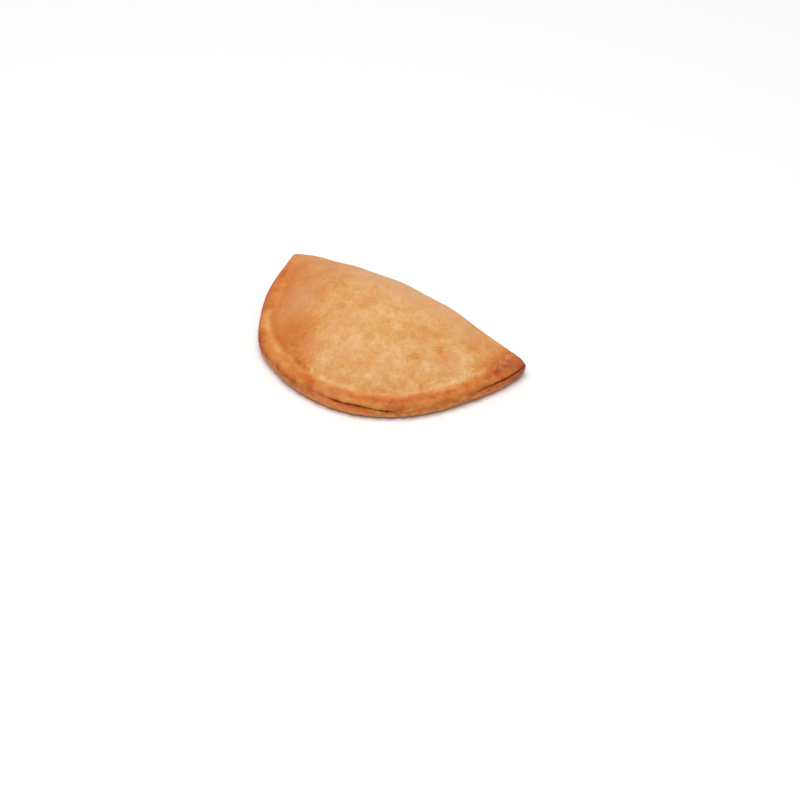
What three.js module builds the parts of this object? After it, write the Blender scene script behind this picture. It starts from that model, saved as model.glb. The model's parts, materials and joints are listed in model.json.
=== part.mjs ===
// A baked half-moon empanada: one disc of pastry folded over its filling and sealed along the curved rim.
// Millimetres, +Z up. The flat underside lies on z = 0, the fold runs along X on the +Y side, and the sealed
// rim curves round the -Y side. The origin is in the plane of the underside, at the middle of the box.
import * as THREE from "three";
import { ParametricGeometry } from "three/addons/geometries/ParametricGeometry.js";

// Outline, seen from above
const TIP_SPAN = 133; // from tip to tip, along the fold
const RIM_REACH = 72; // from the line between the tips out to the rim
const FOLD_BOW = 3.4; // how far the filling pushes the fold out past that line
const TIP_SHARPNESS = 34; // a higher number makes the two corners sharper
// Where the hand-folded rim stands out or falls short: direction from the origin in degrees, size, and width.
const UNEVEN = [
  { at: 0, size: -1.7, width: 16 },
  { at: 22, size: 0.8, width: 8 },
  { at: 151, size: 0.9, width: 6 },
  { at: 161, size: -2.6, width: 15 },
  { at: 180, size: -0.9, width: 12 },
  { at: 213, size: 2, width: 12 },
  { at: 225, size: 1, width: 16 },
  { at: 250, size: 2.1, width: 28 },
  { at: 292, size: 0.9, width: 18 },
  { at: 314, size: 0.4, width: 16 },
];

// The filled crown
const CROWN_RISE = 17.2; // how far it stands above the rim
const CROWN_START = 6.6; // from the rim's edge to the crown's foot
const CROWN_RUN = 38; // from the crown's foot to its full height
const CROWN_MIDDLE = 1; // x of its highest part
const FOOT_SOFTNESS = 0.07; // how gently it leaves the rim, as a share of its run
const FOLD_DROP = { share: 0.2, reach: 12 }; // it turns down towards the fold
const TIP_DROP = { share: 0.8, reach: 24, power: 1.25 }; // and along the fold towards the tips
const TIP_PUFFS = {
  left: { x: -52, height: 3.8, width: 15 },
  right: { x: 60, height: 1.6, width: 10 },
  reach: 22, // in from the fold
};
const LUMPS = [
  { height: 0.45, step: 6.5, turn: 0.7 },
  { height: 0.3, step: 4.1, turn: 2.3 },
];

// The sealed rim
const RIM_THICKNESS = 8.4; // the two sealed layers of pastry
const RIM_BELLY = 5.6; // height of its outermost line
const RIM_SHOULDER = 3; // how far in it takes to round over, from there to the top
const RIM_UNDERCUT = 3.6; // how far in it rounds under, down to the flat underside
const RIDGE = { from_edge: 3.6, height: 0.6, width: 2.2 };
const VALLEY = { from_edge: 7.4, height: -1, width: 2 };
const FINGER_MARKS = { height: 0.25, around: 26 }; // pressed into the ridge as the rim was sealed
const SEAL_FADE = 26; // ridge and valley die away this near the fold
const LOWER_LIP = { from_x: 0, to_x: 38, fade: 9, size: 0.9 }; // the lower layer stands out past the upper

// The seam between the two layers runs along the rim, and dips where the lower layer is thinner.
const SEAM = { height: 6.8, dip: 1.8, dip_x: 33, dip_width: 7, half_gap: 0.4, depth: 0.4 };
const OPEN_SEAMS = [
  { from_x: 5, to_x: 34, fade: 3, depth: 0.9 }, // along the front of the rim
  { from_x: 57, to_x: 73, fade: 3, depth: 1.3 }, // at the +X tip
];

// The fold
const FOLD_BELLY = 0.45; // height of its outermost line, as a share of the local height
const FOLD_ROUNDING = 0.5; // how far in it takes to round over, as a share of the local height
const FOLD_UNDERCUT = 5; // how far in it rounds under
const FOLD_TOP_INWARDS = 12; // from its outermost line to its top, at its middle

// Mesh steps
const AROUND = 128;
const LOWER_STEPS = 5;
const UPPER_STEPS = 7;
const RIM_STEPS = 6;
const CROWN_STEPS = 13;
const FINE_RINGS = { past_crown_start: 3, from_fold: 17 }; // how far in the closely spaced rings go
const TIP_DETAIL = { reach: 9, extra: 1.6 }; // closer points within this reach of a tip

const TINY = 1e-6; // keeps a division from dividing by nothing

const halfSpan = TIP_SPAN / 2;
const tipLine = (RIM_REACH - FOLD_BOW) / 2; // y of the line between the tips

const between = (low, high, t) => low + (high - low) * t;
const bell = (x, middle, width) => Math.exp(-(((x - middle) / width) ** 2));
const hump = (x, { x: middle, height, width }) => height * bell(x, middle, width);

// 1 from from_x to to_x, fading out at each end.
function along(x, { from_x, to_x, fade }) {
  return (Math.tanh((x - from_x) / fade) - Math.tanh((x - to_x) / fade)) / 2;
}

// How much further out than the plain ellipse the rim stands in this direction.
function unevenness(angle) {
  const turned = (at) => ((angle * 180) / Math.PI - at + 540) % 360 - 180; // from that direction, -180 to 180
  return UNEVEN.reduce((sum, { at, size, width }) => sum + size * bell(turned(at), 0, width), 0);
}

// How far a ray from the origin runs before it meets the rim, moved inwards.
function reachRim(angle, inwards) {
  const [a, b] = [halfSpan - inwards, RIM_REACH - inwards];
  const [c, s] = [Math.cos(angle) / a, Math.sin(angle) / b];
  const offset = tipLine / b;
  const square = c * c + s * s;
  const ellipse = (s * offset + Math.sqrt((s * offset) ** 2 + square * (1 - offset ** 2))) / square;
  return ellipse + unevenness(angle);
}

// The same for the bowed fold. A ray that runs away from the fold never meets it.
function reachFold(angle, inwards) {
  const [c, s] = [Math.cos(angle), Math.sin(angle)];
  const bend = (FOLD_BOW * c * c) / halfSpan ** 2;
  const height = tipLine + FOLD_BOW - inwards;
  if (s <= 0) return Infinity;
  return bend < TINY ? height / s : (Math.sqrt(s * s + 4 * bend * height) - s) / (2 * bend);
}

// A point of the outline moved inwards, and the share of it that belongs to the rim: 1 there, 0 on the fold.
function outline(angle, rimInwards, foldInwards) {
  const rim = reachRim(angle, rimInwards) ** -TIP_SHARPNESS;
  const fold = reachFold(angle, foldInwards) ** -TIP_SHARPNESS;
  const reach = (rim + fold) ** (-1 / TIP_SHARPNESS);
  return { x: reach * Math.cos(angle), y: reach * Math.sin(angle), rimShare: rim / (rim + fold) };
}

// Angles of the mesh's points, evenly spaced along the outline and closer together at the tips.
function spreadAngles() {
  const fine = 4000;
  const angles = [];
  const travelled = [0];
  for (let i = 0; i <= fine; i++) angles.push((2 * Math.PI * i) / fine);
  for (let i = 1; i <= fine; i++) {
    const [p, q] = [outline(angles[i - 1], 0, 0), outline(angles[i], 0, 0)];
    const toTip = Math.hypot(halfSpan - Math.abs(q.x), tipLine - q.y);
    const weight = 1 + TIP_DETAIL.extra * bell(toTip, 0, TIP_DETAIL.reach);
    travelled.push(travelled[i - 1] + weight * Math.hypot(q.x - p.x, q.y - p.y));
  }
  const spread = [];
  for (let step = 0, i = 0; step < AROUND; step++) {
    while (travelled[i] < (travelled[fine] * step) / AROUND) i++;
    spread.push(angles[i]);
  }
  return spread;
}

// Distance in from the rim's edge, close to true near the edge.
function fromRim(x, y) {
  const out = unevenness((Math.atan2(y, x) + 2 * Math.PI) % (2 * Math.PI));
  const [u, v] = [x / halfSpan, (y - tipLine) / RIM_REACH];
  const q = Math.max(Math.hypot(u, v), TINY);
  return ((1 - q) * q) / Math.hypot(u / halfSpan, v / RIM_REACH) + out * q * q;
}

const fromFold = (x, y) => tipLine + FOLD_BOW * (1 - (x / halfSpan) ** 2) - y;

function lumps(x, y) {
  const wave = ({ height, step, turn }) => height * Math.sin(x / step + turn) * Math.cos(y / step - turn);
  return LUMPS.reduce((sum, lump) => sum + wave(lump), 0);
}

// The upper surface, before its edges are rounded over.
function topHeight(x, y) {
  const rim = fromRim(x, y);
  const fold = Math.max(fromFold(x, y), 0);
  const run = (rim - CROWN_START) / CROWN_RUN;
  const climb = Math.min((run + Math.hypot(run, FOOT_SOFTNESS)) / 2, 1);
  const foldDrop = 1 - FOLD_DROP.share * Math.exp(-fold / FOLD_DROP.reach);
  const toTip = Math.min(Math.abs(x - CROWN_MIDDLE) / halfSpan, 1) ** TIP_DROP.power;
  const tipDrop = 1 - TIP_DROP.share * toTip * Math.exp(-fold / TIP_DROP.reach);
  const crown = CROWN_RISE * Math.sin((climb * Math.PI) / 2) * foldDrop * tipDrop;
  const puff = (hump(x, TIP_PUFFS.left) + hump(x, TIP_PUFFS.right)) * Math.exp(-fold / TIP_PUFFS.reach);
  const marks = FINGER_MARKS.height * Math.sin(Math.atan2(y - tipLine, x) * FINGER_MARKS.around);
  const ridge = (RIDGE.height + marks) * bell(rim, RIDGE.from_edge, RIDGE.width);
  const valley = VALLEY.height * bell(rim, VALLEY.from_edge, VALLEY.width);
  const sealed = Math.min(fold / SEAL_FADE, 1) ** 2;
  return RIM_THICKNESS + crown + puff + lumps(x, y) * Math.sqrt(climb) + sealed * (ridge + valley);
}

// The height of the fold's top, a little in from its outermost line.
const foldHeight = (x) => topHeight(x, tipLine - FOLD_TOP_INWARDS * (1 - (x / halfSpan) ** 2));

const foldShoulder = (angle) => FOLD_ROUNDING * foldHeight(outline(angle, 0, 0).x);

// A point of the wall. Turn is 0 on the underside, half of pi on the outermost line and pi on top.
function wallPoint(angle, turn, rimInwards) {
  const lower = turn < Math.PI / 2;
  const inwards = 1 - Math.sin(turn);
  const rim = inwards * (lower ? RIM_UNDERCUT : RIM_SHOULDER) + rimInwards;
  const p = outline(angle, rim, inwards * (lower ? FOLD_UNDERCUT : foldShoulder(angle)));
  const belly = between(FOLD_BELLY * foldHeight(p.x), RIM_BELLY, p.rimShare);
  const z = lower ? belly * (1 - Math.cos(turn)) : between(belly, topHeight(p.x, p.y), -Math.cos(turn));
  return [p.x, p.y, z];
}

// The turn at which the wall reaches the seam's height, or a little above or below it.
function seamTurn(angle, above) {
  const { x } = outline(angle, 0, 0);
  const height = SEAM.height - SEAM.dip * bell(x, SEAM.dip_x, SEAM.dip_width) + above;
  if (height < RIM_BELLY) return Math.acos(1 - height / RIM_BELLY);
  return Math.PI / 2 + Math.asin((height - RIM_BELLY) / (RIM_THICKNESS - RIM_BELLY));
}

function seamDepth(angle) {
  const { x } = outline(angle, 0, 0);
  return OPEN_SEAMS.reduce((depth, open) => depth + open.depth * along(x, open), SEAM.depth);
}

// The wall: the lower layer up to the seam, the slit between the layers, and the upper layer over to the top.
function wallRings() {
  const rings = [];
  for (let i = 0; i <= LOWER_STEPS; i++) {
    rings.push((angle) => {
      const turn = between(0, seamTurn(angle, -SEAM.half_gap), i / LOWER_STEPS);
      const standsOut = LOWER_LIP.size * along(outline(angle, 0, 0).x, LOWER_LIP) * Math.sin(turn);
      return wallPoint(angle, turn, -standsOut);
    });
  }
  rings.push((angle) => wallPoint(angle, seamTurn(angle, 0), seamDepth(angle)));
  for (let i = 0; i <= UPPER_STEPS; i++) {
    rings.push((angle) => {
      const turn = between(seamTurn(angle, SEAM.half_gap), Math.PI, i / UPPER_STEPS);
      return wallPoint(angle, turn, 0);
    });
  }
  return rings;
}

// The top: close rings over the rim's ridge and valley, then wider ones shrinking to the middle of the crown.
function topRings() {
  const rimStart = CROWN_START + FINE_RINGS.past_crown_start;
  const rings = [];
  for (let i = 1; i <= RIM_STEPS; i++) {
    rings.push((angle) => {
      const t = i / RIM_STEPS;
      const fold = between(foldShoulder(angle), FINE_RINGS.from_fold, t);
      const p = outline(angle, between(RIM_SHOULDER, rimStart, t), fold);
      return [p.x, p.y, topHeight(p.x, p.y)];
    });
  }
  for (let i = 1; i <= CROWN_STEPS; i++) {
    rings.push((angle) => {
      const p = outline(angle, rimStart, FINE_RINGS.from_fold);
      const [x, y] = [p.x * (1 - i / CROWN_STEPS), p.y * (1 - i / CROWN_STEPS)];
      return [x, y, topHeight(x, y)];
    });
  }
  return rings;
}

// The whole skin, ring by ring from the middle of the underside up and over to the middle of the crown.
function makeSkin() {
  const angles = spreadAngles();
  const undersideMiddle = () => [0, 0, 0];
  const rings = [undersideMiddle, ...wallRings(), ...topRings()];
  const last = rings.length - 1;
  const point = (u, v, target) => {
    const angle = angles[Math.round(u * AROUND) % AROUND];
    target.set(...rings[Math.round(v * last)](angle));
  };
  return new ParametricGeometry(point, AROUND, last);
}

// Moves the uneven outline sideways until its box is centred on the origin.
function centre(geometry) {
  geometry.computeBoundingBox();
  const middle = geometry.boundingBox.getCenter(new THREE.Vector3());
  return geometry.translate(-middle.x, -middle.y, 0);
}

const pastry = new THREE.MeshStandardMaterial({ color: 0xdc9c5c, roughness: 0.6, metalness: 0 });
const crust = new THREE.Mesh(centre(makeSkin()), pastry);
crust.name = "crust";

const empanada = new THREE.Group();
empanada.add(crust);
export default empanada;
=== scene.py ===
import json
import math

import bmesh
import bpy
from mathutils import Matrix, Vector, kdtree, noise
from mathutils.bvhtree import BVHTree

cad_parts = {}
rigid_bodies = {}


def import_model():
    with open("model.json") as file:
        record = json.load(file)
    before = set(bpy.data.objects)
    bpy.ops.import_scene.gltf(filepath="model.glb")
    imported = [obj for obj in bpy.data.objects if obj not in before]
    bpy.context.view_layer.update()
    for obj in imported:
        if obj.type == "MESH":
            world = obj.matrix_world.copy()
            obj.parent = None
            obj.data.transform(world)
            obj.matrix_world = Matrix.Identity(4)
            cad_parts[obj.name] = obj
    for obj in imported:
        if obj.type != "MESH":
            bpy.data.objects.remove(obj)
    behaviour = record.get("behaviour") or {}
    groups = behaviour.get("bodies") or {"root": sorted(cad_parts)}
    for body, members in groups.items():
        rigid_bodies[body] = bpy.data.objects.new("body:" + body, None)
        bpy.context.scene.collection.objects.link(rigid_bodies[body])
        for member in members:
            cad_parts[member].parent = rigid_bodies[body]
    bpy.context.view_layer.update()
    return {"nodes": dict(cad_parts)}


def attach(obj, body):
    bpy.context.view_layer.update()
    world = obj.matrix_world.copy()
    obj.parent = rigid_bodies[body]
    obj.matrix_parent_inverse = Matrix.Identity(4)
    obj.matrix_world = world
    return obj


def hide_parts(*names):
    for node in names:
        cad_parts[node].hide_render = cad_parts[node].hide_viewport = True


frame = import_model()
bpy.ops.object.select_all(action="DESELECT")


# The crust's outline
# A disc of short pastry, rolled out by hand and folded over its filling, is never quite a half-moon.
# Its outline is drawn round the frame's solid as one ring, closer together where it turns at the tips.

MM = 0.001
RING = 160  # points round the outline
SCAN = 1440  # directions tried to find it
FAR = 100.0  # mm, well outside the crust
OUTERMOST_HEIGHTS = (3.0, 4.2, 5.0, 5.6, 6.5, 8.0, 9.5, 11.0)  # mm, where the side may reach furthest
TIP_CLOSER = 1.6  # how much closer the points lie at a tip
TIP_REACH = 9.0  # mm

solid = frame["nodes"]["crust"]
solid_skin = BVHTree.FromPolygons(
    [v.co / MM for v in solid.data.vertices], [tuple(p.vertices) for p in solid.data.polygons]
)


def mix(a, b, t):
    return a + (b - a) * t


def smooth(low, high, x):
    t = min(max((x - low) / (high - low), 0.0), 1.0)
    return t * t * (3 - 2 * t)


def bell(x, middle, width):
    return math.exp(-(((x - middle) / width) ** 2))


def side(bearing, height):
    """The point of the side in this direction from the middle, at this height."""
    outwards = Vector((math.cos(bearing), math.sin(bearing), 0))
    return solid_skin.ray_cast(outwards * FAR + Vector((0, 0, height)), -outwards)[0]


def roof(x, y):
    """How high the upper surface is here."""
    hit = solid_skin.ray_cast(Vector((x, y, FAR)), Vector((0, 0, -1)))[0]
    return hit.z if hit else 0.0


def outermost(bearing):
    hits = [side(bearing, height) for height in OUTERMOST_HEIGHTS]
    return max((hit for hit in hits if hit), key=lambda hit: hit.xy.length)


scan = [outermost(2 * math.pi * i / SCAN) for i in range(SCAN)]
right_tip = max(range(SCAN), key=lambda i: scan[i].xy.length if scan[i].x > 0 else 0)
left_tip = max(range(SCAN), key=lambda i: scan[i].xy.length if scan[i].x < 0 else 0)
tips = (scan[right_tip].xy, scan[left_tip].xy)
travelled = [0.0]
for i in range(SCAN):
    a, b = scan[(right_tip + i) % SCAN].xy, scan[(right_tip + i + 1) % SCAN].xy
    to_tip = min((b - tip).length for tip in tips)
    travelled.append(travelled[-1] + (b - a).length * (1 + TIP_CLOSER * bell(to_tip, 0, TIP_REACH)))
bearings = []
i = 0
for k in range(RING):
    wanted = travelled[-1] * k / RING
    while travelled[i + 1] < wanted:
        i += 1
    part = (wanted - travelled[i]) / (travelled[i + 1] - travelled[i])
    bearings.append(2 * math.pi * (right_tip + i + part) / SCAN)
ring = [outermost(bearing).xy for bearing in bearings]
fold_span = min(range(RING), key=lambda k: (ring[k] - tips[1]).length)  # points along the fold


# The crust's side
# The lower and the upper half of the disc meet in the seam, which was pressed shut by hand and gapes in two
# places. On the far side the pastry is whole, and turns over in one round fold.

RIM = {"belly": 5.6, "undercut": 3.6, "shoulder": 3.0}  # mm
FOLD = {"belly": 0.45, "undercut": 5.0, "shoulder": 0.5}  # belly and shoulder as shares of the height
FOLD_FACES = (0.25, 0.85)  # an outward direction's y, over which the rim turns into the fold
FOLD_TOP = 12.8  # mm in from the fold to its top, at its middle
FOLD_TOP_AT_TIP = 0.8
MIDDLE_LINE = {"share": 0.6, "y": 8.0}  # a point of the outline moves in towards its partner on this line
LEAST_INWARDS = 0.6  # least share of that way that leads straight in
SEAM_HEIGHT = 6.8  # mm
SEAM_DIP = {"depth": 1.8, "x": 33.0, "width": 7.0}  # the lower half is thinner here
SEAM_HALF_GAP = 0.18  # where it is shut
SEAM_GROOVE = {"depth": 0.12, "ends": 3.0}  # shallow towards the left tip
SEAM_MOUTHS = [  # from and to x, over how far each opens, its depth, and how much wider it gapes
    {"from": 6.0, "to": 32.0, "fade": 4.0, "depth": 0.9, "wider": 0.14},
    {"from": 60.0, "to": 75.0, "fade": 3.0, "depth": 1.6, "wider": 0.5},
]
SEAM_HOLE = {"x": 31.6, "width": 1.3, "wider": 0.6, "deeper": 1.2}
LOWER_LIP = {"from": 0.0, "to": 38.0, "fade": 9.0, "size": 0.9}  # the lower half stands out here
LOWER_COURSES = (0.0, 0.25, 0.47, 0.66, 0.81, 0.92, 1.0)
UPPER_COURSES = (0.0, 0.07, 0.18, 0.32, 0.48, 0.65, 0.82, 1.0)
TOP_COURSES = 5
CROWN_FROM_RIM = 9.6  # mm in, where the crown begins
CROWN_FROM_FOLD = 17.0

outward = []
for k in range(RING):
    onwards = ring[(k + 1) % RING] - ring[k - 1]
    outward.append(Vector((onwards.y, -onwards.x)).normalized())
fold_share = [smooth(*FOLD_FACES, direction.y) for direction in outward]


def inwards(k, distance):
    """The outline's point k, moved in from the edge by this distance."""
    partner = Vector((MIDDLE_LINE["share"] * ring[k].x, MIDDLE_LINE["y"]))
    towards = (partner - ring[k]).normalized()
    return ring[k] + towards * distance / max(-towards.dot(outward[k]), LEAST_INWARDS)


def at(place, height):
    return Vector((place.x, place.y, height))


walls = []
for k in range(RING):
    x, y = ring[k]
    fold_top = mix(FOLD_TOP, FOLD_TOP_AT_TIP, (x / tips[0].x) ** 2)
    height = roof(x, y - fold_top) if fold_share[k] > 0 else 0.0
    wall = {
        "belly": mix(RIM["belly"], FOLD["belly"] * height, fold_share[k]),
        "undercut": mix(RIM["undercut"], FOLD["undercut"], fold_share[k]),
        "shoulder": mix(RIM["shoulder"], FOLD["shoulder"] * height, fold_share[k]),
    }
    top = inwards(k, wall["shoulder"])
    wall["top"] = roof(top.x, top.y)
    dip = SEAM_DIP["depth"] * bell(x, SEAM_DIP["x"], SEAM_DIP["width"])
    wall["seam"] = mix(SEAM_HEIGHT - dip, wall["belly"], fold_share[k])
    walls.append(wall)


def turn_at(k, height):
    """How far round its side point k has turned at this height: 0 underneath, pi on top."""
    belly, top = walls[k]["belly"], walls[k]["top"]
    if height < belly:
        return math.acos(1 - height / belly)
    return math.pi / 2 + math.asin(min((height - belly) / (top - belly), 1.0))


def on_side(k, turn):
    wall = walls[k]
    lower = turn < math.pi / 2
    reach = (1 - math.sin(turn)) * (wall["undercut"] if lower else wall["shoulder"])
    below = wall["belly"] * (1 - math.cos(turn))
    above = mix(wall["belly"], wall["top"], -math.cos(turn))
    return at(inwards(k, reach), below if lower else above)


def along(x, stretch):
    """1 along a stretch of the rim, fading at its ends."""
    start, end = (x - stretch["from"]) / stretch["fade"], (x - stretch["to"]) / stretch["fade"]
    return (math.tanh(start) - math.tanh(end)) / 2


for k, wall in enumerate(walls):
    x = ring[k].x
    sealed = 1 - fold_share[k]
    hole = bell(x, SEAM_HOLE["x"], SEAM_HOLE["width"]) * sealed if ring[k].y < 0 else 0.0
    wall["open"] = sum(along(x, mouth) for mouth in SEAM_MOUTHS) * sealed
    wall["gap"] = SEAM_HALF_GAP + sum(along(x, mouth) * mouth["wider"] for mouth in SEAM_MOUTHS) * sealed
    wall["gap"] += SEAM_HOLE["wider"] * hole
    groove = SEAM_GROOVE["depth"] * smooth(SEAM_GROOVE["ends"], -SEAM_GROOVE["ends"], x) * sealed
    wall["slit"] = groove + sum(along(x, mouth) * mouth["depth"] for mouth in SEAM_MOUTHS) * sealed
    wall["slit"] += SEAM_HOLE["deeper"] * hole
    wall["hole"] = hole
    wall["lip"] = LOWER_LIP["size"] * along(x, LOWER_LIP) * sealed


def course(share, lower):
    """One course of points round the side of the lower half, or of the upper, which stands back a little."""
    points = []
    for k, wall in enumerate(walls):
        start = 0.0 if lower else turn_at(k, wall["seam"] + wall["gap"])
        end = turn_at(k, wall["seam"] - wall["gap"]) if lower else math.pi
        spot = on_side(k, mix(start, end, share))
        if fold_share[k] > 0:
            closer = fold_share[k] * (share if lower else 1.0)  # the underside's edge stays flat
            spot = spot.lerp(solid_skin.find_nearest(spot)[0], closer)
        back = 0.0 if lower else wall["lip"] * (1 - share) ** 2
        points.append(at(spot.xy + inwards(k, back) - ring[k], spot.z))
    return points


def seam_course(above):
    """The seam's lower edge for -1, its bottom for 0, and its upper edge for 1."""
    points = []
    for k, wall in enumerate(walls):
        edge = on_side(k, turn_at(k, wall["seam"] + above * wall["gap"]))
        depth = (wall["lip"] if above >= 0 else 0.0) + (wall["slit"] if above == 0 else 0.0)
        points.append(at(edge.xy + (inwards(k, depth) - ring[k]), edge.z))
    return points


bpy.ops.mesh.primitive_circle_add(vertices=RING, radius=FAR * MM, fill_type="NOTHING")
crust = bpy.context.object
crust.name = "crust_baked"
crust.data.name = "crust_baked"
bpy.ops.object.mode_set(mode="EDIT")
dough = bmesh.from_edit_mesh(crust.data)
place = dough.verts.layers.int.new("place")
dough.verts.ensure_lookup_table()
for k, v in enumerate(course(0.0, lower=True)):
    dough.verts[k][place] = k
    dough.verts[k].co = v * MM
bmesh.update_edit_mesh(crust.data)


def lay(points):
    """Extrudes the dough's open edge once more, and lays the new edge on these points."""
    bpy.ops.mesh.extrude_edges_indiv()
    dough = bmesh.from_edit_mesh(crust.data)
    place = dough.verts.layers.int["place"]
    for v in dough.verts:
        if v.select:
            v.co = points[v[place]] * MM
    bmesh.update_edit_mesh(crust.data)


bpy.ops.mesh.select_all(action="SELECT")
for share in LOWER_COURSES[1:-1]:
    lay(course(share, lower=True))
for above in (-1, 0, 1):
    lay(seam_course(above))
for share in UPPER_COURSES[1:]:
    lay(course(share, lower=False))


# The crust's crown and underside
# The upper half bulges over the filling in one broad crown. The underside lay on the baking tray and is flat.
# Each is filled in from its edge as a grid, and the whole is laid on the frame's solid and smoothed.

for step in range(1, TOP_COURSES + 1):
    points = []
    for k in range(RING):
        end = mix(CROWN_FROM_RIM, CROWN_FROM_FOLD, fold_share[k])
        spot = inwards(k, mix(walls[k]["shoulder"], end, step / TOP_COURSES))
        points.append(at(spot, roof(spot.x, spot.y)))
    lay(points)


def fill(corner):
    """Fills the selected edge with a grid, whose first side runs from this point along the fold."""
    dough = bmesh.from_edit_mesh(crust.data)
    place = dough.verts.layers.int["place"]
    dough.select_history.clear()
    for v in dough.verts:
        if v.select and v[place] == corner:
            dough.select_history.add(v)
    bmesh.update_edit_mesh(crust.data)
    bpy.ops.mesh.fill_grid(span=fold_span, offset=0)


def select_open_edge(low, high):
    """Selects the open edges between two heights in mm."""
    bpy.ops.mesh.select_all(action="DESELECT")
    bpy.ops.mesh.select_mode(type="EDGE")
    dough = bmesh.from_edit_mesh(crust.data)
    for edge in dough.edges:
        height = edge.verts[0].co.z / MM
        edge.select = edge.is_boundary and low < height < high
    bmesh.update_edit_mesh(crust.data)
    bpy.ops.mesh.select_mode(type="VERT")


fill(0)
bpy.ops.mesh.select_less()
crust.vertex_groups.new(name="crown")
bpy.ops.object.vertex_group_assign()
select_open_edge(-1.0, 1.0)
fill(0)
bpy.ops.mesh.select_all(action="SELECT")
bpy.ops.mesh.normals_make_consistent(inside=False)
bpy.ops.object.mode_set(mode="OBJECT")

wrap = crust.modifiers.new("crown on the filling", "SHRINKWRAP")
wrap.target = solid
wrap.wrap_method = "PROJECT"
wrap.use_project_z = True
wrap.use_positive_direction = True
wrap.use_negative_direction = True
wrap.vertex_group = "crown"
bpy.ops.object.modifier_apply(modifier=wrap.name)
even = crust.modifiers.new("even crown", "SMOOTH")
even.factor = 0.5
even.iterations = 6
even.vertex_group = "crown"
bpy.ops.object.modifier_apply(modifier=even.name)
soften = crust.modifiers.new("soften", "SUBSURF")
soften.levels = 2
soften.render_levels = 2
bpy.ops.object.modifier_apply(modifier=soften.name)
bpy.ops.object.shade_smooth()


# The crust's relief
# Fat melting in the dough crinkles and blisters the crown, while the left flank and the far side stay smooth.
# Fingers left soft dents and creases where they folded the tip and pressed the rim.

FINE_OUTLINE = 12  # steps between two points of the ring
MOST_RELIEF = 1.0  # mm, at a weight of 1
NEAR_FLOOR = (0.6, 2.6)  # mm up, where the relief begins, so that the underside stays flat
DOWNWARDS = -0.5  # a normal's z, below which there is none
LEVEL_TOP = (0.0, 0.5)  # a normal's z where the surface counts as top

FLANK = {"x": (-36, -14), "slant": 0.25, "kept": 0.1}  # the smooth left flank
FAR_SIDE = {"y": (13, 29), "less": 0.75, "tip": (54, 44)}  # the smooth far side, short of the right tip
CROWN_FOOT = {"in": 6.0, "at_tip": 2.0, "x": (38, 48), "ease": 3.0}  # mm in from the rim
FAR_FROM_RIM = 12.0
SEALED = (34, 14)  # y, over which the pressed rim begins, away from the fold
RIM_WIDTH = {"left": 5.0, "right": 7.6, "x": (-32, -4), "inner": 2.0, "outer": 1.6}
RIM_WANDER = [
    {"size": 5.5, "height": 1.3, "seed": (7, 1, 4)},
    {"size": 2.0, "height": 0.8, "seed": (0, 0, 0)},
]
RIM_TURN = (-0.6, 0.0)  # a normal's z, over which the rim ends below

BEND = {"size": 3.4, "by": 0.9}  # mm, how the crinkles wander
BEND_SEED = 4  # the same wandering in every run
LUMP = {"size": 3.4, "height": 0.17, "width": 0.3, "level": 0.4}
CELL = {"size": 3.4, "height": 0.06, "edge": (0.03, 0.45), "level": 0.7}
ROLL = {"size": 7.0, "height": 0.32, "off_crown": 0.35, "seed": (0, 0, 0)}
GRAIN = {"size": 1.1, "height": 0.05, "off_crown": 0.5, "seed": (0, 0, 0)}
PIT = {"size": 3.6, "radius": (0.5, 1.0), "height": -0.22, "off_crown": 0.1, "share": 0.45, "seed": 11}
BLISTER = {"size": 9.0, "radius": (1.2, 2.4), "height": 0.35, "off_crown": 0.0, "share": 0.6, "seed": 47}
SPOT_EDGE = 0.25  # share of a spot's radius that is level
SHARE_DRAW = 7.3  # each gives a spot's place another draw
RADIUS_DRAW = 3.1
DENT = {"size": 7.5, "depth": 0.16, "edge": (0.05, 0.6), "seed": (5, 3, 9)}
CRINKLED_RIM = 0.45
CRINKLED_EDGE = {"most": 0.5, "in": (4.0, 1.0)}

SIDE_WIDTH = 4.0  # mm in from the outline
BULGE = {"above": 1.7, "width": 1.3, "size": 0.3}  # the upper half's rolled edge, over an open seam
RAGGED_LIP = {  # the lower half's torn edge
    "size": 2.2,
    "height": 1.0,
    "seed": (1, 6, 2),
    "below": -3.0,
    "width": 2.4,
    "left_share": 0.35,
    "x": (-25, 5),
}
WRINKLE = {"across": 1.5, "along": 5.0, "height": 0.2, "slant": math.radians(62), "seed": 3.7}
WRINKLED = {"x": (55.0, 8.0), "y": (9.0, 11.0)}  # where the tip was pinched
FLATTER_RIM = {"x": (-18, 8), "valley": 7.4, "fill": 0.55, "ridge": 3.6, "lower": 0.35, "width": 2.0}
CREASES = [  # points in mm, depth and half width
    {
        "line": [(-46, -7), (-43.6, -11.2), (-39.3, -16.5), (-32.9, -21.5), (-24.8, -25.7)],
        "depth": 0.28,
        "width": 1.3,
    },
    {"line": [(-18.7, -27.7), (-14.0, -29.2), (-9.8, -30.1)], "depth": 0.3, "width": 1.1},
    {"line": [(5.0, -33.0), (14.7, -29.5), (19.9, -25.8), (30.8, -19.2)], "depth": 0.3, "width": 1.2},
    {"line": [(57.7, 21.7), (57.9, 25.0), (57.4, 28.5)], "depth": 0.22, "width": 0.9},
]
CREST = {
    "line": [(-48.2, -9), (-47.1, -12.6), (-42.4, -16.9), (-35.7, -23.1), (-28.2, -28.1), (-20.7, -32.3)],
    "height": 0.16,
    "width": 2.0,
}

noise.seed_set(BEND_SEED)
edge_points = []
for k in range(RING):
    for step in range(FINE_OUTLINE):
        edge_points.append((ring[k].lerp(ring[(k + 1) % RING], step / FINE_OUTLINE), k))
edge_tree = kdtree.KDTree(len(edge_points))
for i, (spot, _) in enumerate(edge_points):
    edge_tree.insert(at(spot, 0), i)
edge_tree.balance()


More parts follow.
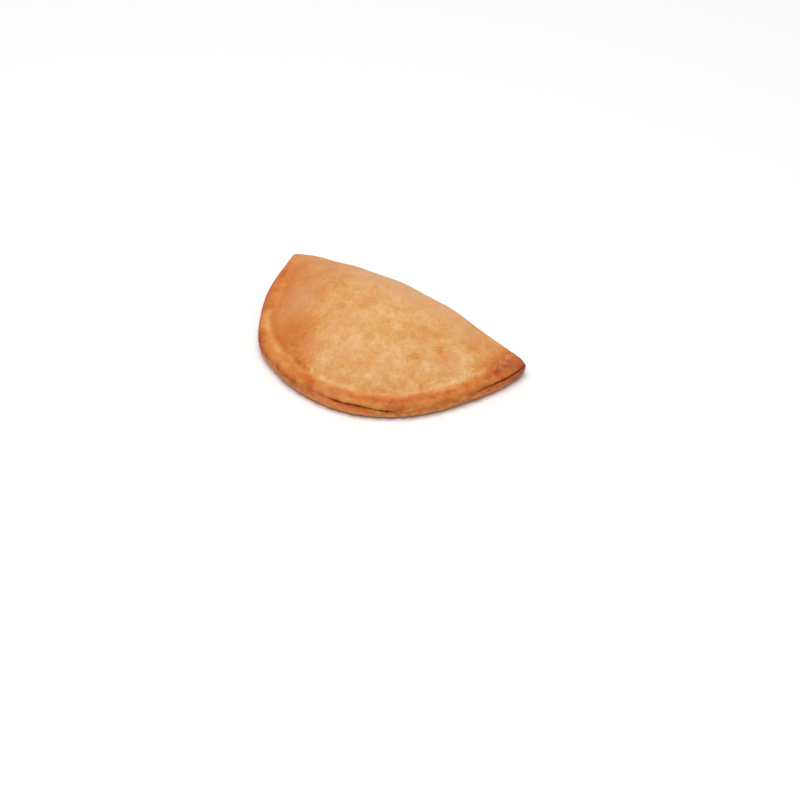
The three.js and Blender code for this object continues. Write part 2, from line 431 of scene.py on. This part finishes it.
def near_line(spot, line):
    """1 on a line of points, falling to 0 beside it."""
    best = FAR
    for a, b in zip(line["line"], line["line"][1:]):
        a, b = Vector(a), Vector(b)
        t = min(max((spot.p.xy - a).dot(b - a) / (b - a).length_squared, 0.0), 1.0)
        best = min(best, (spot.p.xy - a.lerp(b, t)).length)
    return bell(best, 0, line["width"])


def waver(p, kind):
    """Smooth noise from about -1 to 1, in hills of this kind's size."""
    return noise.noise(p / kind["size"] + Vector(kind["seed"]))


def chance(place):
    """A number from 0 to 1 that belongs to this place."""
    return 0.5 + 0.5 * noise.cell(place)


def dotted(p, kind):
    """1 in the middle of a scattered round spot, falling to 0 at its edge."""
    nearest, centres = noise.voronoi((p + Vector((kind["seed"], 0, 0))) / kind["size"])
    if chance(centres[0] * SHARE_DRAW) > kind["share"]:
        return 0.0
    radius = mix(*kind["radius"], chance(centres[0] * RADIUS_DRAW))
    return 1 - smooth(SPOT_EDGE, 1.0, nearest[0] * kind["size"] / radius)


class Spot:
    """One point of the skin, and how far it belongs to the crown, the rim and the side."""

    def __init__(self, vertex):
        self.p = vertex.co / MM
        self.x, self.y, self.z = self.p
        self.up = vertex.normal.z
        _, nearest, self.edge = edge_tree.find(at(self.p.xy, 0))
        k = edge_points[nearest][1]
        self.wall = walls[k]
        self.from_seam = self.z - self.wall["seam"]
        self.sealed = smooth(*SEALED, self.y)
        self.top = smooth(*LEVEL_TOP, self.up)
        self.crown = self.crinkled(mix(FAR_FROM_RIM, self.edge, 1 - fold_share[k])) * self.top
        self.ragged = self.edge + sum(kind["height"] * waver(self.p, kind) for kind in RIM_WANDER)
        width = mix(RIM_WIDTH["left"], RIM_WIDTH["right"], smooth(*RIM_WIDTH["x"], self.x))
        inside = 1 - smooth(width - RIM_WIDTH["inner"], width + RIM_WIDTH["outer"], self.ragged)
        self.rim = self.sealed * inside * smooth(*RIM_TURN, self.up)

    def crinkled(self, from_rim):
        """Where the crown is crinkled: not on the left flank, the far side or the rim, but out to the tip."""
        flank = smooth(*FLANK["x"], self.x + FLANK["slant"] * self.y)
        far_side = 1 - FAR_SIDE["less"] * smooth(*FAR_SIDE["y"], self.y) * smooth(*FAR_SIDE["tip"], self.x)
        foot = mix(CROWN_FOOT["in"], CROWN_FOOT["at_tip"], smooth(*CROWN_FOOT["x"], self.x))
        return smooth(foot, foot + CROWN_FOOT["ease"], from_rim) * mix(FLANK["kept"], 1.0, flank * far_side)


def crinkles(spot):
    """Worm-like crinkles between small cells, on the crown."""
    bent = spot.p + noise.noise_vector(spot.p / BEND["size"]) * BEND["by"]
    worm = 1 - smooth(0.0, LUMP["width"], abs(noise.noise(bent / LUMP["size"])))
    near = noise.voronoi(bent / CELL["size"])[0]
    cell = smooth(*CELL["edge"], near[1] - near[0])
    height = LUMP["height"] * (worm - LUMP["level"]) + CELL["height"] * (cell - CELL["level"])
    return spot.crown * height


def wrinkles(spot):
    """Long low folds across the pinched tip."""
    lie = WRINKLE["slant"]
    across = spot.x * math.sin(lie) - spot.y * math.cos(lie)
    along_them = spot.x * math.cos(lie) + spot.y * math.sin(lie)
    fold = noise.noise(Vector((across / WRINKLE["across"], along_them / WRINKLE["along"], WRINKLE["seed"])))
    return WRINKLE["height"] * fold * bell(spot.x, *WRINKLED["x"]) * bell(spot.y, *WRINKLED["y"])


def side_relief(spot):
    """The rolled edge over an open seam, and the torn edge of the lower half."""
    if spot.edge >= SIDE_WIDTH:
        return 0.0
    rolled = BULGE["size"] * spot.wall["open"] * bell(spot.from_seam, BULGE["above"], BULGE["width"])
    torn = bell(spot.from_seam, RAGGED_LIP["below"], RAGGED_LIP["width"])
    torn *= mix(RAGGED_LIP["left_share"], 1.0, smooth(*RAGGED_LIP["x"], spot.x))
    return spot.sealed * (rolled + RAGGED_LIP["height"] * waver(spot.p, RAGGED_LIP) * torn)


def rim_relief(spot):
    """Dents of the fingers, and the stretch on the right where the rim is flatter than the solid's."""
    dent = spot.rim * smooth(*DENT["edge"], waver(spot.p, DENT))
    flatter = spot.sealed * smooth(*FLATTER_RIM["x"], spot.x) * spot.top
    fill = FLATTER_RIM["fill"] * bell(spot.edge, FLATTER_RIM["valley"], FLATTER_RIM["width"])
    lower = FLATTER_RIM["lower"] * bell(spot.edge, FLATTER_RIM["ridge"], FLATTER_RIM["width"])
    return flatter * (fill - lower) - DENT["depth"] * dent


def relief_at(spot):
    """How far the skin stands out here, in mm."""
    if spot.up <= DOWNWARDS:
        return 0.0
    height = crinkles(spot) + side_relief(spot) + rim_relief(spot)
    for kind in (ROLL, GRAIN):
        height += kind["height"] * waver(spot.p, kind) * mix(kind["off_crown"], 1.0, spot.crown)
    for kind in (PIT, BLISTER):
        height += kind["height"] * dotted(spot.p, kind) * mix(kind["off_crown"], 1.0, spot.crown)
    if spot.up > 0:
        height += wrinkles(spot) + CREST["height"] * near_line(spot, CREST)
        height -= sum(crease["depth"] * near_line(spot, crease) for crease in CREASES)
    return height * smooth(*NEAR_FLOOR, spot.z)


def roughened(spot):
    """How crinkled the skin looks, from 0 to 1."""
    edge = CRINKLED_EDGE["most"] * spot.sealed * smooth(*CRINKLED_EDGE["in"], spot.edge)
    return max(spot.crown, CRINKLED_RIM * spot.rim, edge)


skin = [Spot(vertex) for vertex in crust.data.vertices]
relief = [relief_at(spot) for spot in skin]


def weigh(name, weights):
    """Makes a vertex group of these weights, point by point."""
    group = crust.vertex_groups.new(name=name)
    for i, weight in enumerate(weights):
        if weight > 0:
            group.add([i], min(weight, 1.0), "REPLACE")
    return group.name


def press(name, weights, distance):
    """Moves the surface out by this distance in mm, or in if it is below zero, as far as each weight says."""
    move = crust.modifiers.new(name, "DISPLACE")
    move.vertex_group = weigh(name, weights)
    move.mid_level = 0
    move.strength = distance * MM
    bpy.ops.object.modifier_apply(modifier=move.name)


press("raised", [height / MOST_RELIEF for height in relief], MOST_RELIEF)
press("sunk", [-height / MOST_RELIEF for height in relief], -MOST_RELIEF)


# The crust's browning
# Heat reaches the rim, the tips and the left flank first, so they are browner than the crown. The torn edge
# of the lower half shows paler dough. A pale pinkish sheen is painted on the far side and the left flank,
# painted shade darkens the open seam and the creases, and a painted highlight lightens the left crest.

RELIEF_SHOWN = 0.5  # mm of relief that darkens or lightens the skin fully
BROWN = {"crown": 0.27, "underneath": 0.46, "under_turn": (-0.3, -0.8)}
BROWN_PATCHES = [  # middle and half width along x and y in mm, and how much browner or paler the patch is
    {"x": (-32, 10), "y": (-18, 11), "slant": 0.5, "by": 0.29},
    {"x": (-23, 8), "y": (-34, 5), "slant": 0.0, "by": -0.1},
    {"x": (34, 9), "y": (13, 9), "slant": 0.0, "by": 0.07},
    {"x": (44, 9), "y": (25, 8), "slant": 0.0, "by": 0.12},
    {"x": (46, 7), "y": (11, 9), "slant": 0.0, "by": -0.06},
    {"x": (53, 7), "y": (0, 7), "slant": 0.0, "by": -0.18},
    {"x": (55, 5), "y": (12, 7), "slant": 0.0, "by": -0.1},
    {"x": (60, 5), "y": (29, 8), "slant": 0.0, "by": 0.14},
]
BROWN_FLANK = {"by": 0.22, "x": (-12, -42), "less": 0.35, "y": (12, 30)}
BROWN_LEFT_EDGE = {"by": 0.06, "x": (-56, 9), "y": (34, 10)}
BROWN_TIP = {"by": 0.41, "x": (46, 60)}
BROWN_FAR_SIDE = {"by": 0.04, "y": (5, 30)}
BROWN_RIM = {"left": 0.12, "right": 0.32, "x": (-40, -2), "less": 0.75, "tip": (48, 58)}
BROWN_RIM_EDGE = {"by": 0.08, "x": (-18, 12), "in": (2.5, 2.5)}
BROWN_RIM_FOOT = {"by": 0.12, "x": (-30, -12), "in": (9.2, 3.0)}
BROWN_SIDE = {"left": 0.1, "right": 0.03, "x": (-10, 30), "in": (0.5, 4.5), "turn": (0.95, 0.4)}
# creases: partly browner dough, partly painted shade in the creases
CREASE_BROWNING_AND_SHADE = {"by": 0.05, "on_crown": 0.4}
PALE_CREST_AND_HIGHLIGHT = {"front": 0.04, "behind": 0.15, "y": (-22, -13)}
# painted shade in the open seam and its hole, and a darker line along the shut seam on the left
SEAM_SHADE = {"open": 0.45, "width": 0.4, "hole": 0.6, "hole_width": 0.8, "left": 0.1, "x": (5, -10)}
SEAM_IN = 3.0  # mm in from the outline
BROWN_CLOUDS = {"size": 9.0, "seed": (2, 8, 1), "by": 0.1, "on_crown": 0.05}
BROWN_RIM_CLOUDS = {"size": 3.5, "seed": (4, 4, 1), "by": 0.05}
# Where a pale pinkish sheen is painted on: along the far side, and on the left flank.
SHEEN_FAR_SIDE = {"x": (-4, 45), "y": (13, 32), "turn": (-0.3, 0.2)}
SHEEN_FLANK = {"x": (-38, 9), "y": (2, 12), "by": 0.5}
TORN = {"least": 0.15, "x": (10, 19), "at_tip": 0.6, "tip": (52, 60), "below_seam": (-0.5, -1.3)}
TORN_PATCHES = {"size": 2.2, "seed": (3, 3, 8), "by": 0.5}


def on_edge(spot):
    """How far this point belongs to the cut edge of the two halves."""
    return spot.sealed * (1 - smooth(*BROWN_SIDE["in"], spot.edge)) * smooth(*BROWN_SIDE["turn"], spot.up)


def seam_shade(spot):
    """Painted shade in the open seam and its hole, and a darker line along the shut seam on the left."""
    if spot.edge >= SEAM_IN:
        return 0.0
    slit = SEAM_SHADE["open"] * spot.wall["open"]
    hole = SEAM_SHADE["hole"] * spot.wall["hole"]
    left = SEAM_SHADE["left"] * spot.sealed * smooth(*SEAM_SHADE["x"], spot.x)
    narrow = bell(spot.from_seam, 0, SEAM_SHADE["width"])
    wide = bell(spot.from_seam, 0, SEAM_SHADE["hole_width"])
    return slit * narrow + (hole + left) * wide


def rim_browning(spot):
    tip = 1 - BROWN_RIM["less"] * smooth(*BROWN_RIM["tip"], spot.x)
    brown = mix(BROWN_RIM["left"], BROWN_RIM["right"], smooth(*BROWN_RIM["x"], spot.x)) * tip
    edge = bell(spot.x, *BROWN_RIM_EDGE["x"]) * bell(spot.edge, *BROWN_RIM_EDGE["in"])
    foot = spot.sealed * smooth(*BROWN_RIM_FOOT["x"], spot.x) * bell(spot.ragged, *BROWN_RIM_FOOT["in"])
    return spot.rim * (brown + BROWN_RIM_EDGE["by"] * edge) + BROWN_RIM_FOOT["by"] * foot


def browning(spot):
    """How brown the skin is baked, from 0, pale, to 1, dark."""
    x, y = spot.x, spot.y
    brown = BROWN["crown"] + rim_browning(spot) + seam_shade(spot)
    flank = smooth(*BROWN_FLANK["x"], x) * (1 - BROWN_FLANK["less"] * smooth(*BROWN_FLANK["y"], y))
    brown += BROWN_FLANK["by"] * flank
    brown += BROWN_LEFT_EDGE["by"] * bell(x, *BROWN_LEFT_EDGE["x"]) * smooth(*BROWN_LEFT_EDGE["y"], y)
    brown += BROWN_TIP["by"] * smooth(*BROWN_TIP["x"], x)
    brown += BROWN_FAR_SIDE["by"] * smooth(*BROWN_FAR_SIDE["y"], y)
    for patch in BROWN_PATCHES:
        brown += patch["by"] * bell(x + patch["slant"] * y, *patch["x"]) * bell(y, *patch["y"])
    brown += on_edge(spot) * mix(BROWN_SIDE["left"], BROWN_SIDE["right"], smooth(*BROWN_SIDE["x"], x))
    if spot.up > 0:
        # Creases are darker: partly browner baked dough, partly painted shade in the creases.
        creased = sum(near_line(spot, crease) for crease in CREASES)
        brown += CREASE_BROWNING_AND_SHADE["by"] * creased * mix(1.0, CREASE_BROWNING_AND_SHADE["on_crown"], spot.crown)
        # Along the left crest the skin is paler: partly paler dough, partly a painted highlight.
        pale = mix(PALE_CREST_AND_HIGHLIGHT["front"], PALE_CREST_AND_HIGHLIGHT["behind"], smooth(*PALE_CREST_AND_HIGHLIGHT["y"], y))
        brown -= pale * near_line(spot, CREST)
    brown = mix(brown, BROWN["underneath"], smooth(*BROWN["under_turn"], spot.up))
    clouds = mix(BROWN_CLOUDS["by"], BROWN_CLOUDS["on_crown"], spot.crown) * waver(spot.p, BROWN_CLOUDS)
    return brown + clouds + BROWN_RIM_CLOUDS["by"] * spot.rim * waver(spot.p, BROWN_RIM_CLOUDS)


# A painted sheen, pale and pinkish, where light glances off the far side and the left flank.
def painted_sheen(spot):
    far_side = smooth(*SHEEN_FAR_SIDE["y"], spot.y) * smooth(*SHEEN_FAR_SIDE["turn"], spot.up)
    flank = SHEEN_FLANK["by"] * bell(spot.x, *SHEEN_FLANK["x"]) * bell(spot.y, *SHEEN_FLANK["y"]) * spot.top
    return min(bell(spot.x, *SHEEN_FAR_SIDE["x"]) * far_side + flank, 1.0)


def torn_dough(spot):
    """Where the lower half's edge shows paler dough."""
    shown = max(TORN["least"], bell(spot.x, *TORN["x"]), TORN["at_tip"] * smooth(*TORN["tip"], spot.x))
    shown += TORN_PATCHES["by"] * waver(spot.p, TORN_PATCHES)
    return on_edge(spot) * smooth(*TORN["below_seam"], spot.from_seam) * shown


def keep(name, values):
    """Stores one value for each point, for the material to read."""
    attribute = crust.data.attributes.new(name, "FLOAT", "POINT")
    attribute.data.foreach_set("value", values)


keep("relief", [min(max(height / RELIEF_SHOWN, -1.0), 1.0) for height in relief])
keep("browned", [browning(spot) for spot in skin])
keep("painted_sheen_tint", [painted_sheen(spot) for spot in skin])
keep("torn_lip", [torn_dough(spot) for spot in skin])
keep("crinkled", [roughened(spot) for spot in skin])


# The crust's baked skin
# Short pastry bakes pale gold where it is thick and moist, and orange to brown where it is thin or dry: round
# the rim, at the tips and in small freckles. It is almost matt, with the faint sheen of its own fat.

BAKED = [  # how brown the skin is, from 0 to 1, and its colour, as a screen shows it
    (0.0, (217, 180, 134)),
    (0.25, (207, 157, 102)),
    (0.45, (198, 131, 68)),
    (0.62, (191, 110, 49)),
    (0.8, (170, 83, 32)),
    (1.0, (128, 50, 18)),
]
BLOTCHES = {"per_metre": 310.0, "detail": 4.0, "roughness": 0.55, "distortion": 0.9}
CRUMBS = {"per_metre": 950.0, "detail": 3.0}
CLOUDS = {"per_metre": 120.0, "detail": 2.0}
# the relief share is partly baked colour, partly painted light on lumps and painted shade in hollows
BROWNING_AND_HOLLOW_SHADE = {"clouds": 0.17, "blotches": 0.5, "crumbs": 0.2, "relief": -0.22}
SMOOTH_SHARE = 0.6  # how strong the fine pattern is where nothing is crinkled
CRINKLED_SHARE = 0.4  # and how much stronger where it is
RIDGES = {"per_metre": 230.0, "detail": 1.0, "band": (0.8, 1.7), "colour": (224, 179, 130), "by": 0.52}
TINTS = [  # yellow, tan and salmon clouds on the crown
    {"cloud": {"per_metre": 110.0, "detail": 1.0}, "band": (0.02, 0.2), "colour": (199, 148, 76), "by": 0.45},
    {
        "cloud": {"per_metre": 330.0, "detail": 2.0, "roughness": 0.5, "distortion": 0.6},
        "band": (0.02, 0.16),
        "colour": (193, 138, 84),
        "by": 0.45,
    },
    {"cloud": {"per_metre": 85.0, "detail": 1.0}, "band": (0.03, 0.2), "colour": (204, 137, 95), "by": 0.45},
]
OWN_TINTS = {  # laid on by the values stored on the points
    # painted sheen on the far side and the left flank
    "painted_sheen_tint": {"colour": (203, 158, 128), "by": 0.55},
    "torn_lip": {"colour": (228, 134, 74), "by": 0.75},
}
PITS = {
    "per_metre": 360.0,
    "least_luck": 0.42,
    "size": 0.62,
    "edge": 0.22,
    "colour": (152, 100, 48),
    "by": 0.6,
}
PIT_WANDER = {"per_metre": 900.0, "detail": 1.0, "by": 0.0012}
PIT_CLOUDS = {"cloud": {"per_metre": 110.0, "detail": 2.0}, "band": (-0.08, 0.12)}
BUMP = {"crumbs": 0.6, "ridges": 0.12, "pits": -0.2, "strength": 0.5, "height": 0.0006}
FINISH = {
    "Roughness": 0.68,
    "Specular IOR Level": 0.16,
    "Subsurface Weight": 0.12,
    "Subsurface Radius": (1.0, 0.45, 0.2),
    "Subsurface Scale": 0.0012,
}


def colour(red, green, blue):
    """A colour as a screen shows it, from 0 to 255, turned into the shader's linear one."""
    linear = [((c / 255 + 0.055) / 1.055) ** 2.4 if c > 10 else c / 255 / 12.92 for c in (red, green, blue)]
    return (*linear, 1.0)


pastry = bpy.data.materials.new("baked_pastry")
pastry.use_nodes = True
nodes, links = pastry.node_tree.nodes, pastry.node_tree.links
shader = nodes["Principled BSDF"]


def add(kind, settings=None, **sockets):
    """A node with these settings, and each socket set to a value or joined to another node's output."""
    node = nodes.new(kind)
    for name, value in (settings or {}).items():
        setattr(node, name, value)
    for name, value in sockets.items():
        socket = node.inputs[int(name[1:])] if name[1:].isdigit() else node.inputs[name.replace("_", " ")]
        if isinstance(value, bpy.types.NodeSocket):
            links.new(value, socket)
        else:
            socket.default_value = value
    return node


def sum_of(a, b, share):
    """a + b * share."""
    return add("ShaderNodeMath", {"operation": "MULTIPLY_ADD"}, _0=b, _1=share, _2=a).outputs[0]


def times(a, b):
    return add("ShaderNodeMath", {"operation": "MULTIPLY"}, _0=a, _1=b).outputs[0]


def minus(a, b):
    return add("ShaderNodeMath", {"operation": "SUBTRACT"}, _0=a, _1=b).outputs[0]


def tinted(under, tint, where):
    """A colour with a tint laid over it where this value says, as strongly as the tint's own share."""
    settings = {"data_type": "RGBA"}
    blend = add("ShaderNodeMix", settings, _0=times(where, tint["by"]), _6=under, _7=colour(*tint["colour"]))
    return blend.outputs[2]


def ramp(value, stops):
    """Colours along a value."""
    node = add("ShaderNodeValToRGB", _0=value)
    band = node.color_ramp
    while len(band.elements) < len(stops):
        band.elements.new(0.5)
    for element, (position, tone) in zip(band.elements, stops):
        element.position = position
        element.color = colour(*tone)
    return node.outputs["Color"]


def band_of(value, low, high):
    """0 below low and 1 above high, eased between."""
    settings = {"interpolation_type": "SMOOTHSTEP"}
    return add("ShaderNodeMapRange", settings, _0=value, _1=low, _2=high).outputs[0]


def own(name):
    """One of the values stored on the crust's points."""
    return add("ShaderNodeAttribute", {"attribute_name": name}).outputs["Fac"]


def grainy(per_metre, detail, roughness=0.6, distortion=0.0):
    """Cloudy noise, 0 on average."""
    node = add("ShaderNodeTexNoise", Vector=on_crust, Scale=per_metre, Detail=detail, Roughness=roughness)
    node.inputs["Distortion"].default_value = distortion
    return minus(node.outputs["Fac"], 0.5)


on_crust = add("ShaderNodeTexCoord").outputs["Object"]
crinkled_here = own("crinkled")
blotches = grainy(**BLOTCHES)
crumbs = grainy(**CRUMBS)
strength = sum_of(SMOOTH_SHARE, crinkled_here, CRINKLED_SHARE)

tone = sum_of(own("browned"), grainy(**CLOUDS), BROWNING_AND_HOLLOW_SHADE["clouds"])
tone = sum_of(tone, times(blotches, strength), BROWNING_AND_HOLLOW_SHADE["blotches"])
tone = sum_of(tone, times(crumbs, strength), BROWNING_AND_HOLLOW_SHADE["crumbs"])
# Lumps are paler and hollows darker: partly baked colour, partly painted light on the lumps and painted shade
# in the hollows.
tone = sum_of(tone, own("relief"), BROWNING_AND_HOLLOW_SHADE["relief"])
baked = ramp(tone, BAKED)

folds = {"noise_type": "RIDGED_MULTIFRACTAL"}
folds = add("ShaderNodeTexNoise", folds, Vector=on_crust, Scale=RIDGES["per_metre"], Detail=RIDGES["detail"])
ridges = times(band_of(folds.outputs["Fac"], *RIDGES["band"]), crinkled_here)
baked = tinted(baked, RIDGES, ridges)
for tint in TINTS:
    baked = tinted(baked, tint, times(band_of(grainy(**tint["cloud"]), *tint["band"]), crinkled_here))
for name, tint in OWN_TINTS.items():
    baked = tinted(baked, tint, own(name))

drift = {"Scale": PIT_WANDER["per_metre"], "Detail": PIT_WANDER["detail"]}
drift = add("ShaderNodeTexNoise", Vector=on_crust, **drift).outputs["Color"]
reach = (PIT_WANDER["by"],) * 3
drifted = add("ShaderNodeVectorMath", {"operation": "MULTIPLY_ADD"}, _0=drift, _1=reach, _2=on_crust)
cells = add("ShaderNodeTexVoronoi", Vector=drifted.outputs[0], Scale=PITS["per_metre"])
luck = add("ShaderNodeSeparateColor", _0=cells.outputs["Color"]).outputs["Red"]
pit_size = times(minus(luck, PITS["least_luck"]), PITS["size"])
pits = band_of(minus(pit_size, cells.outputs["Distance"]), 0.0, PITS["edge"])
pits = times(times(pits, strength), band_of(grainy(**PIT_CLOUDS["cloud"]), *PIT_CLOUDS["band"]))
baked = tinted(baked, PITS, pits)
links.new(baked, shader.inputs["Base Color"])

surface = times(sum_of(blotches, crumbs, BUMP["crumbs"]), strength)
surface = sum_of(surface, ridges, BUMP["ridges"])
surface = sum_of(surface, pits, BUMP["pits"])
bump = add("ShaderNodeBump", Strength=BUMP["strength"], Distance=BUMP["height"], Height=surface)
links.new(bump.outputs["Normal"], shader.inputs["Normal"])
for socket, value in FINISH.items():
    shader.inputs[socket].default_value = value
crust.data.materials.append(pastry)
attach(crust, "root")
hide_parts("crust")


# The table
# The pie lies on a plain board, painted white and far wider than the pie. It is matt, and throws a little
# light back up under the rim.

TABLE_SIZE = 30.0  # m
TABLE_WHITE = (0.8, 0.8, 0.8, 1)
TABLE_ROUGHNESS = 0.8

bpy.ops.object.select_all(action="DESELECT")
bpy.ops.mesh.primitive_plane_add(size=TABLE_SIZE)
table = bpy.context.object
table.name = "table"
board = bpy.data.materials.new("white_board")
board.use_nodes = True
shader = board.node_tree.nodes["Principled BSDF"]
shader.inputs["Base Color"].default_value = TABLE_WHITE
shader.inputs["Roughness"].default_value = TABLE_ROUGHNESS
table.data.materials.append(board)


# The light
# One broad soft lamp hangs overhead, a little to the front right of the pie, and makes the soft shadow round
# it. A white room fills the shadows from all sides.

LAMP_PLACE = (0.07, -0.27, 1.7)  # m
LAMP_SIZE = 1.4
LAMP_WATTS = 28.8
ROOM_WHITE = (1, 1, 1, 1)
ROOM_STRENGTH = 0.48

bpy.ops.object.light_add(type="AREA", location=LAMP_PLACE)
lamp = bpy.context.object
lamp.name = "overhead_lamp"
lamp.data.shape = "DISK"
lamp.data.size = LAMP_SIZE
lamp.data.energy = LAMP_WATTS
lamp.rotation_euler = (-lamp.location).to_track_quat("-Z", "Y").to_euler()
room = bpy.data.worlds.new("white_room")
room.use_nodes = True
room.node_tree.nodes["Background"].inputs["Color"].default_value = ROOM_WHITE
room.node_tree.nodes["Background"].inputs["Strength"].default_value = ROOM_STRENGTH
bpy.context.scene.world = room
bpy.context.scene.view_settings.view_transform = "Standard"


# The camera
# It looks down on the pie from its front right, as in the photograph, where the pie lies to the left of the
# picture's middle and above it.

AZIMUTH = math.radians(36.1)
ELEVATION = math.radians(41.0)
DISTANCE = 1.1  # m
AIM = Vector((0, 0, 0.010))
LENS = 109.4  # mm
SENSOR = 36.0
SHIFT = (0.044, -0.0725)  # shares of the picture's width
SEES_TO = 50.0  # m

back = Vector((
    math.sin(AZIMUTH) * math.cos(ELEVATION),
    -math.cos(AZIMUTH) * math.cos(ELEVATION),
    math.sin(ELEVATION),
))
bpy.ops.object.camera_add(location=AIM + back * DISTANCE)
camera = bpy.context.object
camera.name = "camera"
camera.data.lens = LENS
camera.data.sensor_width = SENSOR
camera.data.shift_x, camera.data.shift_y = SHIFT
camera.data.clip_end = SEES_TO
camera.rotation_euler = back.to_track_quat("Z", "Y").to_euler()
bpy.context.scene.camera = camera
